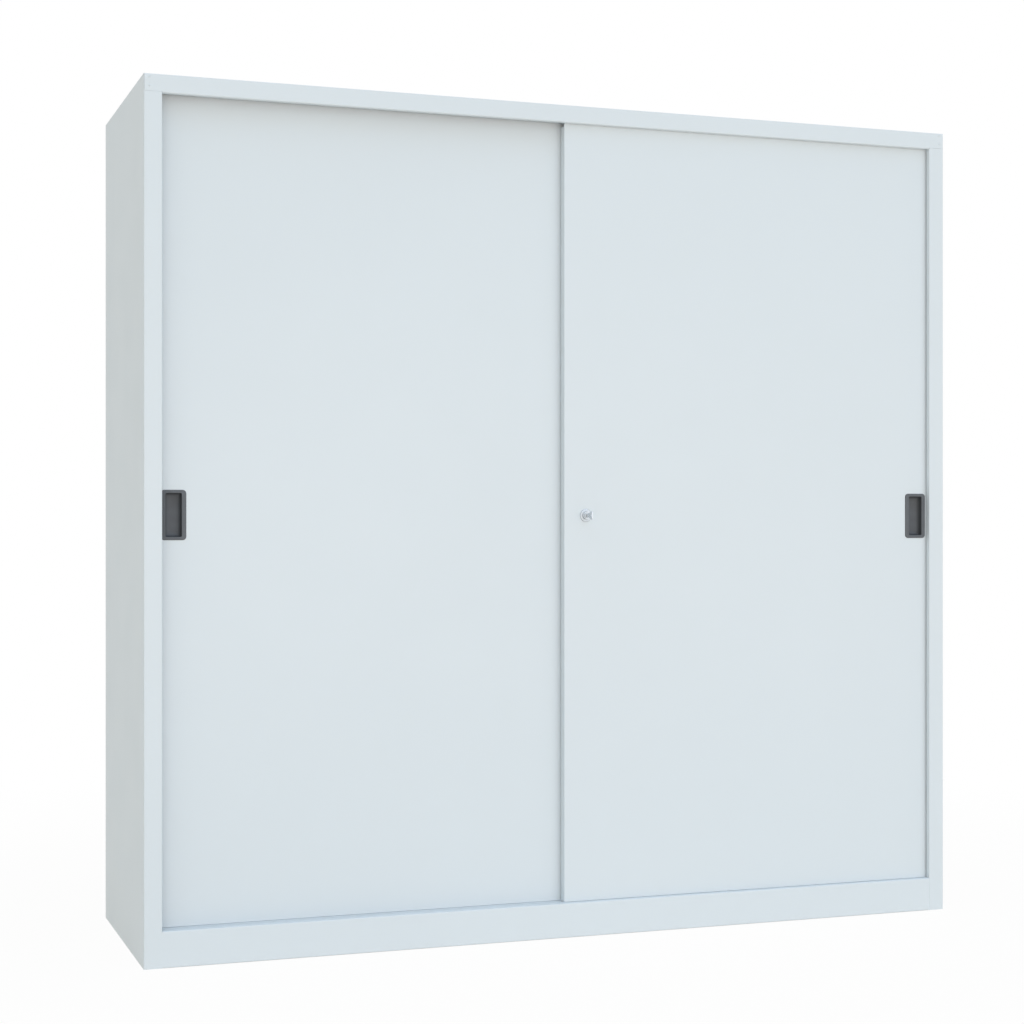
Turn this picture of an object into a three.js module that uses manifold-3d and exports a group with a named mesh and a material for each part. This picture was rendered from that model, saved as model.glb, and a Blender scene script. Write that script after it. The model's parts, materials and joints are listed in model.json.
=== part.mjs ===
// Sliding door cabinet of folded sheet steel, two bays wide.
// Lengths are in millimetres. Inside the cabinet group X runs to the right from the left
// side, Y runs to the back from the front and Z runs up from the floor.
// The exported group has its origin on the floor, under the middle of the cabinet.

import * as THREE from 'three';
import { mergeVertices } from 'three/addons/utils/BufferGeometryUtils.js';
import Module from 'manifold-3d';

const wasm = await Module();
wasm.setup();

// Overall size
const width = 2000;
const depth = 600;
const height = 1950;

// Fits and cuts
const gap = 0.3;
const overrun = 6;

// Folded sheet
const foldRadius = 1;
const foldSteps = 3;
const sidesOfRound = 24;
const sidesOfRoller = 20;
const sidesOfPin = 14;
const curveSteps = 3;

// Carcass
const carcassSheet = 1;
const post = { width: 40, lip: 13 };
const fascia = { height: 40, overPost: 37.7, underside: 13 };
const plinth = { height: 80, foot: 15 };
const rearFlange = 25;
const topFlange = 25;
const backSheet = 1;
const partition = { thickness: 30, front: 75, sheet: 1 };

// Slotted strips on the side walls
const rack = { width: 28, standOff: 14, sheet: 1, front: 96, fromBack: 55, foot: 100, head: 60 };
const slot = { width: 3, height: 17, pitch: 60, first: 150 };

// Doors
const doorSheet = 1;
const door = {
  thickness: 22.5,
  behindPost: 16,
  betweenDoors: 3,
  fromSide: 17,
  overlap: 30,
  aboveSill: 0.6,
  behindFascia: 14,
  sideNotch: 21,
  lip: 12,
  openMargin: 8,
};
const hat = { crown: 30, brim: 10, depth: 15.4, sheet: 1, below: 26, clearOfEdge: 14 };
const stiffenerFoot = 30;

// Top tracks and what hangs in them, measured back from the front face of the door
const track = { sheet: 1.5, web: 2.5, cover: 20.5, lipCentre: 11, lipTop: 25, bottom: 33, endGap: 4 };
const roller = { radius: 11.5, groove: 9, width: 8, rim: 0.7, mouth: 2.2, fromEdge: 110 };
const pin = { radius: 3, head: 4.5, headLength: 1.5 };
const hanger = { width: 40, sheet: 2.5, aboveAxle: 7, foot: 44, holeRadius: 3, holeSpacing: 22 };
const buffer = { length: 15, height: 24 };

// Lower guides
const guide = { length: 30, width: 14, height: 12, blade: 2.4, bladeLength: 24, reach: 8, fromEdge: 60 };
const guideSlotMargin = 15;

// Recessed pulls
const pull = {
  width: 56.5,
  height: 111,
  corner: 5,
  flange: 1.8,
  bevel: 1.2,
  opening: 36,
  openingHeight: 97,
  openingCorner: 2.5,
  wall: 1.5,
  recess: 16,
  ribInset: 3.4,
  ribHeight: 0.4,
  fromEdge: 54.6,
  centre: 989,
};
const pullReach = 10;

// Lock, measured back from the front face of the right door
const lock = { fromEdge: 55, centre: 989 };
const sleeve = { radius: 11, bore: 9.3, length: 15, rosette: 15, rosetteDepth: 2.7, rosetteEdge: 1.3 };
const nut = { acrossFlats: 27, thickness: 4 };
const barrel = { proud: 6, length: 20, bore: 6.3, edge: 0.6, wall: 2 };
const plunger = { radius: 4, edge: 0.5, inset: 2.5 };
const keyway = { width: 2.6, height: 8, floor: 1 };
const key = {
  blade: 2,
  bladeHeight: 7.4,
  neck: 7,
  neckHeight: 8,
  bow: 25,
  bowStart: 9,
  bowHeight: 22,
  corner: 4,
  hole: 2,
  bite: 1.2,
  biteLength: 2.4,
};
const biteShares = [0.22, 0.46, 0.7];
const striker = { height: 40, thickness: 2, onDoor: 16, play: 2 };

// Shelves and their bearers
const shelf = { sheet: 1, front: 82, fold: 25, underside: 12 };
const shelfShares = [0.26, 0.5, 0.74];
const bearer = { sheet: 1.5, height: 20, ledge: 18, endMargin: 6 };
const hook = { width: 2.4, height: 10, finger: 2.4, drop: 5 };

// Finishes
const enamel = { color: 0xdae3e8, roughness: 0.45, metalness: 0 };
const galvanised = { color: 0xb9bec1, roughness: 0.4, metalness: 0.9 };
const darkPlastic = { color: 0x5a5e61, roughness: 0.6, metalness: 0 };
const nylon = { color: 0xe9e8e2, roughness: 0.5, metalness: 0 };
const rubber = { color: 0x2c2c2d, roughness: 0.85, metalness: 0 };
const plating = { color: 0xc3c8cc, roughness: 0.25, metalness: 1 };

// Places that follow from the values above
const doorWidth = (width - 2 * door.fromSide + door.overlap) / 2;
const rightDoorLeft = width - door.fromSide - doorWidth;
const leftDoorFace = door.behindPost + door.thickness + door.betweenDoors;
const doorBottom = plinth.height + door.aboveSill;
const fasciaBottom = height - fascia.height;
const doorHeight = fasciaBottom + door.behindFascia - doorBottom;
const returnsTop = doorHeight - door.sideNotch;
const ceiling = height - carcassSheet;
const backFace = depth - carcassSheet - gap - backSheet;
const innerBack = backFace - gap;
const wall = carcassSheet + gap;
const partitionLeft = (width - partition.thickness) / 2;
const trackTop = ceiling - gap;
const trackBottom = height - track.bottom;
const lipTop = height - track.lipTop;
const axle = lipTop + gap + roller.groove;
const hatBack = doorSheet + gap + hat.depth;
const plateFront = hatBack + gap;
const shelfZone = ceiling - plinth.height;
const rackFaces = [rack.front, depth - rack.fromBack];
const bearerFront = rack.front - bearer.endMargin;
const bearerRear = depth - rack.fromBack + rack.width + bearer.endMargin;

// A solid made from a closed three.js geometry.
function solid(geometry) {
  const bare = geometry.clone();
  bare.deleteAttribute('normal');
  bare.deleteAttribute('uv');
  const merged = mergeVertices(bare);
  const vertProperties = merged.attributes.position.array;
  const triVerts = Uint32Array.from(merged.index.array);
  return new wasm.Manifold(new wasm.Mesh({ numProp: 3, vertProperties, triVerts }));
}

// Unit directions, and for each axis where an outline's two directions and its run point.
const alongX = new THREE.Vector3(1, 0, 0);
const alongY = new THREE.Vector3(0, 1, 0);
const alongZ = new THREE.Vector3(0, 0, 1);
const turns = {
  x: new THREE.Matrix4().makeBasis(alongY, alongZ, alongX),
  y: new THREE.Matrix4().makeBasis(alongX, alongZ, alongY.clone().negate()),
  z: new THREE.Matrix4(),
};

// An outline carried straight along one axis, from one place to another. An outline
// across X is given in Y and Z, one across Y in X and Z, and one across Z in X and Y.
function carry(axis, outline, from, to) {
  const isShape = outline instanceof THREE.Shape;
  const shape = isShape ? outline : new THREE.Shape(outline.map(([a, b]) => new THREE.Vector2(a, b)));
  const settings = { depth: to - from, bevelEnabled: false, curveSegments: curveSteps };
  const geometry = new THREE.ExtrudeGeometry(shape, settings);
  geometry.translate(0, 0, axis === 'y' ? -to : from);
  return solid(geometry.applyMatrix4(turns[axis]));
}

// A block between two places on each axis.
function block([left, right], [front, rear], [bottom, top]) {
  const geometry = new THREE.BoxGeometry(right - left, rear - front, top - bottom);
  geometry.translate((left + right) / 2, (front + rear) / 2, (bottom + top) / 2);
  return solid(geometry);
}

// A round rod along Y.
function rod(radius, [front, rear], x, z, sides = sidesOfRound) {
  const geometry = new THREE.CylinderGeometry(radius, radius, rear - front, sides);
  return solid(geometry.translate(x, (front + rear) / 2, z));
}

// A turned piece about the Y axis, from a closed profile of radius and place along Y.
function turned(profile, sides = sidesOfRound) {
  const points = [...profile, profile[0]].map(([radius, y]) => new THREE.Vector2(radius, y));
  return solid(new THREE.LatheGeometry(points, sides));
}

// The section of a folded sheet. The path is the sheet's outer face and runs
// counter-clockwise round the inside of the fold, with the thickness on its left.
function folded(path, thickness) {
  const outer = [path[0]];
  const inner = [];
  const directions = path.slice(1).map(([a, b], i) => {
    const length = Math.hypot(a - path[i][0], b - path[i][1]);
    return [(a - path[i][0]) / length, (b - path[i][1]) / length];
  });
  const normals = directions.map(([a, b]) => [-b, a]);
  inner.push(offset(path[0], normals[0], thickness));
  for (let i = 1; i < path.length - 1; i += 1) {
    const [before, after] = [normals[i - 1], normals[i]];
    const [[a, b], [c, d]] = [directions[i - 1], directions[i]];
    const inwards = Math.sign(a * d - b * c);
    const pathRadius = inwards > 0 ? foldRadius + thickness : foldRadius;
    const otherRadius = inwards > 0 ? foldRadius : foldRadius + thickness;
    const reach = (inwards * pathRadius) / (1 + before[0] * after[0] + before[1] * after[1]);
    const centre = offset(path[i], [before[0] + after[0], before[1] + after[1]], reach);
    for (let step = 0; step <= foldSteps; step += 1) {
      const angle = (step / foldSteps) * (Math.PI / 2);
      const mixed = offset(offset([0, 0], before, Math.cos(angle)), after, Math.sin(angle));
      const size = Math.hypot(...mixed);
      const direction = mixed.map((value) => value / size);
      outer.push(offset(centre, direction, -inwards * pathRadius));
      inner.push(offset(centre, direction, -inwards * otherRadius));
    }
  }
  outer.push(path.at(-1));
  inner.push(offset(path.at(-1), normals.at(-1), thickness));
  return [...outer, ...inner.reverse()];
}

// A point moved along a direction.
function offset([a, b], [directionA, directionB], distance) {
  return [a + directionA * distance, b + directionB * distance];
}

// The same path on the other side of the cabinet, still counter-clockwise.
function mirrored(path, span) {
  return path.map(([a, b]) => [span - a, b]).reverse();
}

// A straight-sided outline with rounded corners.
function rounded(corners, radius) {
  const shape = new THREE.Shape();
  corners.forEach(([a, b], i) => {
    const [before, after] = [corners.at(i - 1), corners[(i + 1) % corners.length]];
    const towards = ([c, d]) => {
      const length = Math.hypot(c - a, d - b);
      return offset([a, b], [(c - a) / length, (d - b) / length], radius);
    };
    const [start, end] = [towards(before), towards(after)];
    if (i === 0) shape.moveTo(...start);
    else shape.lineTo(...start);
    shape.quadraticCurveTo(a, b, ...end);
  });
  shape.closePath();
  return shape;
}

// The four corners of a rectangle about the origin.
function rectangle(across, up) {
  const [a, b] = [across / 2, up / 2];
  return [[-a, -b], [a, -b], [a, b], [-a, b]];
}

// Evenly spaced places from a first one, as many as fit before the last.
function places(first, pitch, last) {
  return Array.from({ length: Math.floor((last - first) / pitch) + 1 }, (_, i) => first + i * pitch);
}

// Adds a named piece with its own material to a group.
function addPiece(group, name, form, finish) {
  const { vertProperties, triVerts } = form.getMesh();
  const geometry = new THREE.BufferGeometry();
  geometry.setAttribute('position', new THREE.Float32BufferAttribute(vertProperties, 3));
  geometry.setIndex(new THREE.Uint32BufferAttribute(triVerts, 1));
  geometry.computeVertexNormals();
  const mesh = new THREE.Mesh(geometry, new THREE.MeshStandardMaterial(finish));
  mesh.name = name;
  group.add(mesh);
  return mesh;
}

// The slots of one strip, cut from one place across to another.
function slotCuts(from, to, middle) {
  const half = slot.width / 2;
  return places(slot.first, slot.pitch, height - rack.head - slot.pitch).map((z) =>
    block([from, to], [middle - half, middle + half], [z, z + slot.height]));
}

// A side panel: wall, front post with its return lip, rear flange and two slotted strips.
function sidePanel(isLeft) {
  const place = (path) => (isLeft ? path : mirrored(path, width));
  const wallPath = [[rearFlange, depth], [0, depth], [0, 0], [post.width, 0], [post.width, post.lip]];
  let form = carry('z', folded(place(wallPath), carcassSheet), 0, height);
  const span = (from, to) => (isLeft ? [from, to] : [width - to, width - from]);
  const postHead = height - fascia.overPost - gap;
  form = form.subtract(block(span(carcassSheet, post.width + overrun), [-overrun, post.lip + gap],
    [postHead, height + overrun]));
  const faceOfRack = carcassSheet + rack.standOff;
  for (const front of rackFaces) {
    const rear = front + rack.width;
    const base = carcassSheet / 2;
    const stripPath = [[base, front], [faceOfRack, front], [faceOfRack, rear], [base, rear]];
    let strip = carry('z', folded(place(stripPath), rack.sheet), rack.foot, height - rack.head);
    const through = span(faceOfRack - rack.sheet - gap, faceOfRack + overrun);
    for (const cut of slotCuts(...through, front + rack.width / 2)) strip = strip.subtract(cut);
    form = form.add(strip);
  }
  return form;
}

// The top panel: fascia that laps over the post heads, side flanges and rear flange.
function topPanel() {
  const path = [[depth, height - topFlange], [depth, height], [0, height], [0, fasciaBottom],
    [fascia.underside, fasciaBottom]];
  const [left, right] = [wall, width - wall];
  let form = carry('x', folded(path, carcassSheet), left, right);
  const overPostTop = height - fascia.overPost;
  const postSpan = post.width + gap;
  const behindPost = fascia.underside + gap;
  const rearNotch = depth - carcassSheet - foldRadius - gap;
  for (const side of [(a, b) => [a, b], (a, b) => [width - b, width - a]]) {
    form = form.subtract(block(side(-overrun, postSpan), [-overrun, behindPost], [0, overPostTop]));
    form = form.subtract(block(side(-overrun, rearFlange + gap), [rearNotch, depth + overrun],
      [0, height + overrun]));
    form = form.add(block(side(left, left + carcassSheet), [behindPost, rearNotch],
      [height - topFlange, ceiling + carcassSheet / 2]));
  }
  return form;
}

// The base panel: kick plate, sill and floor of the cabinet in one fold, with the slots
// that the doors' lower guides run in.
function basePanel() {
  const rear = innerBack;
  const path = [[rear - plinth.foot, 0], [rear, 0], [rear, plinth.height], [0, plinth.height], [0, 0],
    [plinth.foot, 0]];
  let form = carry('x', folded(path, carcassSheet), wall, width - wall);
  const [behindPost, beside] = [post.lip + carcassSheet + gap, post.width + gap];
  for (const span of [[-overrun, beside], [width - beside, width + overrun]]) {
    form = form.subtract(block(span, [-overrun, behindPost], [-overrun, plinth.height + overrun]));
  }
  const slotEnds = [post.width + guideSlotMargin, width - post.width - guideSlotMargin];
  const half = guide.blade / 2 + gap;
  for (const face of [door.behindPost, leftDoorFace]) {
    const middle = face + door.thickness / 2;
    form = form.subtract(block(slotEnds, [middle - half, middle + half],
      [plinth.height - carcassSheet - overrun, plinth.height + overrun]));
  }
  return form;
}

// One of the two back panels, between the sides' rear flanges and the inner pieces.
function backPanel(isLeft) {
  const side = wall + foldRadius;
  const across = isLeft ? [side, width / 2 - gap] : [width / 2 + gap, width - side];
  return block(across, [backFace, backFace + backSheet], [gap, ceiling - foldRadius - gap]);
}

// The centre partition: a double-skinned wall, open at its foot and head, with slots.
function centrePartition() {
  const [left, right] = [partitionLeft, partitionLeft + partition.thickness];
  const [front, rear] = [partition.front, innerBack];
  const [bottom, top] = [plinth.height + gap, ceiling - gap];
  const skin = partition.sheet;
  let form = block([left, right], [front, rear], [bottom, top]);
  form = form.subtract(block([left + skin, right - skin], [front + skin, rear - skin],
    [bottom - overrun, top + overrun]));
  for (const rackFront of rackFaces) {
    for (const cut of slotCuts(left - overrun, right + overrun, rackFront + rack.width / 2)) {
      form = form.subtract(cut);
    }
  }
  return form;
}

// A top track, with Y measured back from its door's front face: a cover flange under the
// top panel, a web, and an upturned lip that the rollers run on.
function topTrack() {
  const lipFront = track.lipCentre + track.sheet / 2;
  const path = [[track.web + track.cover, trackTop], [track.web, trackTop], [track.web, trackBottom],
    [lipFront, trackBottom], [lipFront, lipTop]];
  return carry('x', folded(path, track.sheet), track.endGap, width - track.endGap);
}

// A rubber buffer that sits in the track between its web and its lip.
function trackBuffer() {
  const front = track.web + track.sheet + gap;
  const rear = track.lipCentre - track.sheet / 2 - gap;
  const bottom = trackBottom + track.sheet + foldRadius + gap;
  return block([-buffer.length / 2, buffer.length / 2], [front, rear], [bottom, bottom + buffer.height]);
}

// A door's folded tray, from its own lower left front corner. The side returns stop short
// of the top, where the front skin runs on alone behind the fascia.
function doorTray() {
  const back = door.thickness;
  const path = [[door.lip, back], [0, back], [0, 0], [doorWidth, 0], [doorWidth, back],
    [doorWidth - door.lip, back]];
  let form = carry('z', folded(path, doorSheet), 0, doorHeight);
  form = form.subtract(block([-overrun, doorWidth + overrun], [doorSheet + foldRadius, back + overrun],
    [returnsTop, doorHeight + overrun]));
  const footPath = [[0, door.lip], [0, 0], [back, 0], [back, door.lip]];
  const inset = doorSheet + foldRadius;
  return form.add(carry('x', folded(footPath, doorSheet), inset, doorWidth - inset));
}

// The section of a hat stiffener. Its brims lie against the inside of the skin.
function hatSection(middle) {
  const brimFace = doorSheet + gap;
  const crown = brimFace + hat.depth - hat.sheet;
  const [inner, outer] = [hat.crown / 2, hat.crown / 2 + hat.brim];
  const path = [[-outer, brimFace], [-inner, brimFace], [-inner, crown], [inner, crown], [inner, brimFace],
    [outer, brimFace]];
  return folded(path.map(([a, b]) => [a + middle, b]), hat.sheet);
}

// The top rail of a door: a hat that lies across, which carries the hangers.
const railMiddle = returnsTop - hat.below;
function doorTopRail() {
  const section = hatSection(0).map(([up, back]) => [back, railMiddle - up]);
  return carry('x', section, hat.clearOfEdge, doorWidth - hat.clearOfEdge);
}

// The upright stiffener in the middle of a door.
function doorStiffener() {
  const head = railMiddle - hat.crown / 2 - hat.brim - gap;
  return carry('z', hatSection(doorWidth / 2), stiffenerFoot, head);
}

// A hanger plate with its roller pin, about the pin's axis. It is screwed to the top rail.
function hangerPlate() {
  const rail = railMiddle - (axle - doorBottom);
  const plateRear = plateFront + hanger.sheet;
  const [half, top] = [hanger.width / 2, hanger.aboveAxle];
  const [foot, shoulder] = [rail - hanger.foot / 2, rail + hat.crown / 2];
  const corners = [[-half, foot], [half, foot], [half, shoulder], [hanger.aboveAxle, top],
    [-hanger.aboveAxle, top], [-half, shoulder]];
  let form = carry('y', rounded(corners, pin.radius), plateFront, plateRear);
  const rollerFront = track.lipCentre - roller.width / 2 - gap;
  const rollerRear = track.lipCentre + roller.width / 2 + gap;
  form = form.add(rod(pin.radius, [rollerFront - pin.headLength, plateRear], 0, 0, sidesOfPin));
  form = form.add(rod(pin.head, [rollerFront - pin.headLength, rollerFront], 0, 0, sidesOfPin));
  form = form.add(rod(pin.head, [rollerRear, plateRear - hanger.sheet / 2], 0, 0, sidesOfPin));
  for (const x of [-hanger.holeSpacing / 2, hanger.holeSpacing / 2]) {
    const through = [plateFront - overrun, plateRear + overrun];
    form = form.subtract(rod(hanger.holeRadius, through, x, rail, sidesOfPin));
  }
  return form;
}

// A grooved roller about its own axis.
function grooveRoller() {
  const half = roller.width / 2;
  const bore = pin.radius + gap;
  const floor = track.sheet / 2 + gap;
  const shoulder = roller.radius - roller.rim;
  const profile = [[bore, -half], [shoulder, -half], [roller.radius, roller.rim - half],
    [roller.radius, -roller.mouth], [roller.groove, -floor], [roller.groove, floor],
    [roller.radius, roller.mouth], [roller.radius, half - roller.rim], [shoulder, half], [bore, half]];
  return turned(profile, sidesOfRoller);
}

// A lower guide: a block inside the tray with a blade that reaches down into the sill.
function lowerGuide() {
  const middle = door.thickness / 2;
  const bottom = doorSheet + gap;
  const around = (size) => [middle - size / 2, middle + size / 2];
  const body = block([-guide.length / 2, guide.length / 2], around(guide.width),
    [bottom, bottom + guide.height]);
  const blade = block([-guide.bladeLength / 2, guide.bladeLength / 2], around(guide.blade),
    [-door.aboveSill - guide.reach, bottom + guide.height / 2]);
  return body.add(blade);
}

// The openings in a door's foot that the guide blades pass through.
function guideOpening(x) {
  const half = guide.bladeLength / 2 + gap;
  const side = guide.blade / 2 + gap;
  const middle = door.thickness / 2;
  return block([x - half, x + half], [middle - side, middle + side], [-overrun, doorSheet + overrun]);
}

// A recessed pull about its own middle: bevelled flange, raised rib and a walled recess.
function recessedPull() {
  const settings = {
    depth: pull.flange,
    bevelEnabled: true,
    bevelThickness: pull.bevel,
    bevelSize: pull.bevel,
    bevelOffset: -pull.bevel,
    bevelSegments: 2,
    curveSegments: curveSteps,
  };
  const plate = new THREE.ExtrudeGeometry(rounded(rectangle(pull.width, pull.height), pull.corner), settings);
  plate.applyMatrix4(turns.y).translate(0, pull.bevel, 0);
  const seat = [-pull.width, pull.width];
  let form = solid(plate).subtract(block(seat, [-gap, pull.flange + pull.bevel + overrun],
    [-pull.height, pull.height]));
  const ridge = rectangle(pull.opening + pull.ribInset * 2, pull.openingHeight + pull.ribInset * 2);
  form = form.add(carry('y', rounded(ridge, pull.openingCorner + pull.ribInset),
    -pull.flange - pull.ribHeight, -gap));
  const cup = rectangle(pull.opening + 2 * pull.wall, pull.openingHeight + 2 * pull.wall);
  const cupRear = pull.recess + pull.wall;
  form = form.add(carry('y', rounded(cup, pull.openingCorner + pull.wall), -pull.flange, cupRear));
  const hollow = rectangle(pull.opening, pull.openingHeight);
  return form.subtract(carry('y', rounded(hollow, pull.openingCorner), -pull.flange - overrun, pull.recess));
}

// The opening in a door's skin for its pull.
function pullOpening(x) {
  const margin = 2 * (pull.wall + gap);
  const corners = rectangle(pull.opening + margin, pull.openingHeight + margin)
    .map(([a, b]) => [a + x, b + pull.centre - doorBottom]);
  return carry('y', rounded(corners, pull.openingCorner + pull.wall), -overrun, doorSheet + overrun);
}

// The lock's threaded sleeve with its rosette, about the lock's axis.
function lockSleeve() {
  const front = -sleeve.rosetteDepth - gap;
  const { bore, radius, rosette, rosetteEdge } = sleeve;
  return turned([[bore, front], [rosette - rosetteEdge, front], [rosette, front + rosetteEdge],
    [rosette, -gap], [radius, -gap], [radius, sleeve.length], [bore, sleeve.length]]);
}

// The hexagon nut that holds the sleeve against the inside of the skin.
function lockNut() {
  const across = nut.acrossFlats / Math.sqrt(3);
  const corner = (i) => [across * Math.cos((i * Math.PI) / 3), across * Math.sin((i * Math.PI) / 3)];
  const front = doorSheet + gap;
  const form = carry('y', Array.from({ length: 6 }, (_, i) => corner(i)), front, front + nut.thickness);
  return form.subtract(rod(sleeve.radius + gap, [front - overrun, front + nut.thickness + overrun], 0, 0));
}

// The lock's pushed cylinder, with the plunger that blocks the doors behind it.
function lockCylinder() {
  const front = -barrel.proud;
  const rear = front + barrel.length;
  const outer = sleeve.bore - gap;
  const tip = door.thickness - plunger.inset;
  return turned([[0, rear - barrel.wall], [barrel.bore, rear - barrel.wall], [barrel.bore, front],
    [outer - barrel.edge, front], [outer, front + barrel.edge], [outer, rear], [plunger.radius, rear],
    [plunger.radius, tip - plunger.edge], [plunger.radius - plunger.edge, tip], [0, tip]]);
}

// The lock plug with its keyway.
const plugRear = barrel.length - barrel.proud - barrel.wall - gap;
function lockPlug() {
  const front = -barrel.proud - gap;
  const form = rod(barrel.bore - gap, [front, plugRear], 0, 0);
  const [half, tall] = [keyway.width / 2, keyway.height / 2];
  return form.subtract(block([-half, half], [front - overrun, plugRear - keyway.floor], [-tall, tall]));
}

// The key: bitted blade in the plug, neck, and a bow that widens outwards.
function lockKey() {
  const tip = plugRear - keyway.floor - gap;
  const face = -barrel.proud - gap;
  const [bowInner, bowOuter] = [face - key.bowStart, face - key.bowStart - key.bow];
  const blade = key.bladeHeight / 2;
  const neck = key.neckHeight / 2;
  const bow = key.bowHeight / 2;
  const half = key.blade / 2;
  let form = block([-half, half], [face - key.neck, tip], [-blade, blade]);
  for (const share of biteShares) {
    const y = face + (tip - face) * share;
    form = form.subtract(block([-half - overrun, half + overrun], [y, y + key.biteLength],
      [blade - key.bite, blade + overrun]));
  }
  form = form.add(block([-half, half], [bowInner - neck, face - gap], [-neck, neck]));
  const corners = [[bowOuter, -bow], [bowInner, -neck], [bowInner, neck], [bowOuter, bow]];
  form = form.add(carry('x', rounded(corners, key.corner), -half, half));
  const hole = new THREE.CylinderGeometry(key.hole, key.hole, key.blade + overrun, sidesOfRound);
  hole.rotateZ(Math.PI / 2).translate(0, bowOuter + key.corner + key.hole, 0);
  return form.subtract(solid(hole));
}

// The striker on the edge of the left door, in the gap between the doors. Its free edge
// stands beside the lock's plunger.
function doorStriker() {
  const plungerPlace = rightDoorLeft + lock.fromEdge - door.fromSide;
  const right = plungerPlace - plunger.radius - striker.play;
  const middle = lock.centre - doorBottom;
  return block([doorWidth - striker.onDoor, right], [-gap - striker.thickness, -gap],
    [middle - striker.height / 2, middle + striker.height / 2]);
}

// One shelf of a bay, from its left front corner, with its top at zero.
function shelfPan(across) {
  const back = innerBack - gap - shelf.front;
  const { fold, underside } = shelf;
  const frontPath = [[back - underside, -fold], [back, -fold], [back, 0], [0, 0], [0, -fold],
    [underside, -fold]];
  const sidePath = [[across, -fold], [across, 0], [0, 0], [0, -fold]];
  const inset = shelf.sheet + foldRadius;
  const long = carry('x', folded(frontPath, shelf.sheet), inset, across - inset);
  const cross = carry('y', folded(sidePath, shelf.sheet), inset, back - inset);
  return long.add(cross);
}

// A shelf bearer about its own middle, with the strip's face at zero in X. Its hooks
// reach through the strip's slots and drop behind it.
function shelfBearer() {
  const path = [[gap, bearer.height], [gap, 0], [gap + bearer.ledge, 0]];
  const half = (bearerRear - bearerFront) / 2;
  let form = carry('y', folded(path, bearer.sheet), -half, half);
  const middle = (bearerRear + bearerFront) / 2;
  const behind = -rack.sheet - gap;
  const top = bearer.height - bearer.sheet;
  for (const front of rackFaces) {
    const y = front + rack.width / 2 - middle;
    const span = [y - hook.width / 2, y + hook.width / 2];
    form = form.add(block([behind - hook.finger, gap + bearer.sheet / 2], span, [top - hook.height, top]));
    form = form.add(block([behind - hook.finger, behind], span, [top - hook.height - hook.drop, top]));
  }
  return form;
}

// Groups that carry the pieces
const cabinet = new THREE.Group();
cabinet.position.set(-width / 2, -depth / 2, 0);
const part = new THREE.Group();
part.add(cabinet);

function addGroup(x, y, z) {
  const group = new THREE.Group();
  group.position.set(x, y, z);
  cabinet.add(group);
  return group;
}

function buildCarcass() {
  addPiece(cabinet, 'left_side_panel', sidePanel(true), enamel);
  addPiece(cabinet, 'right_side_panel', sidePanel(false), enamel);
  addPiece(cabinet, 'top_panel', topPanel(), enamel);
  addPiece(cabinet, 'base_panel', basePanel(), enamel);
  addPiece(cabinet, 'left_back_panel', backPanel(true), enamel);
  addPiece(cabinet, 'right_back_panel', backPanel(false), enamel);
  addPiece(cabinet, 'centre_partition', centrePartition(), enamel);
}

// How far each door travels, and the buffers that end it.
const rightDoorTravel = rightDoorLeft - door.fromSide - door.openMargin;
const leftDoorTravel = rightDoorLeft - door.fromSide - pull.fromEdge - pull.width / 2 - pullReach;

function buildTrack(name, face, doorLeft, towardsLeft, towardsRight) {
  const group = addGroup(0, face, 0);
  addPiece(group, `${name}_track`, topTrack(), galvanised);
  const reach = roller.radius + gap + buffer.length / 2;
  const leftRoller = doorLeft + roller.fromEdge;
  const rightRoller = doorLeft + doorWidth - roller.fromEdge;
  addPiece(group, `${name}_track_left_buffer`, trackBuffer(), rubber).position.x =
    leftRoller - towardsLeft - reach;
  addPiece(group, `${name}_track_right_buffer`, trackBuffer(), rubber).position.x =
    rightRoller + towardsRight + reach;
}

function buildShelves() {
  const faceOfRack = carcassSheet + rack.standOff;
  const bays = [
    { name: 'left', from: faceOfRack, to: partitionLeft },
    { name: 'right', from: partitionLeft + partition.thickness, to: width - faceOfRack },
  ];
  const inset = 2 * gap + bearer.sheet + foldRadius;
  const pitchSteps = (share) => Math.round((share * shelfZone) / slot.pitch);
  for (const bay of bays) {
    const across = bay.to - bay.from - 2 * inset;
    shelfShares.forEach((share, i) => {
      const hookTop = slot.first + pitchSteps(share) * slot.pitch + slot.height - gap;
      const foot = hookTop - bearer.height + bearer.sheet;
      const name = `${bay.name}_shelf_${i + 1}`;
      const shelfTop = foot + bearer.sheet + gap + shelf.fold;
      const group = addGroup(0, 0, 0);
      addPiece(group, name, shelfPan(across), enamel).position.set(bay.from + inset, shelf.front, shelfTop);
      const middle = (bearerFront + bearerRear) / 2;
      addPiece(group, `${name}_left_bearer`, shelfBearer(), galvanised).position.set(bay.from, middle, foot);
      const right = addPiece(group, `${name}_right_bearer`, shelfBearer(), galvanised);
      right.position.set(bay.to, middle, foot);
      right.rotation.z = Math.PI;
    });
  }
}

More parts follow.
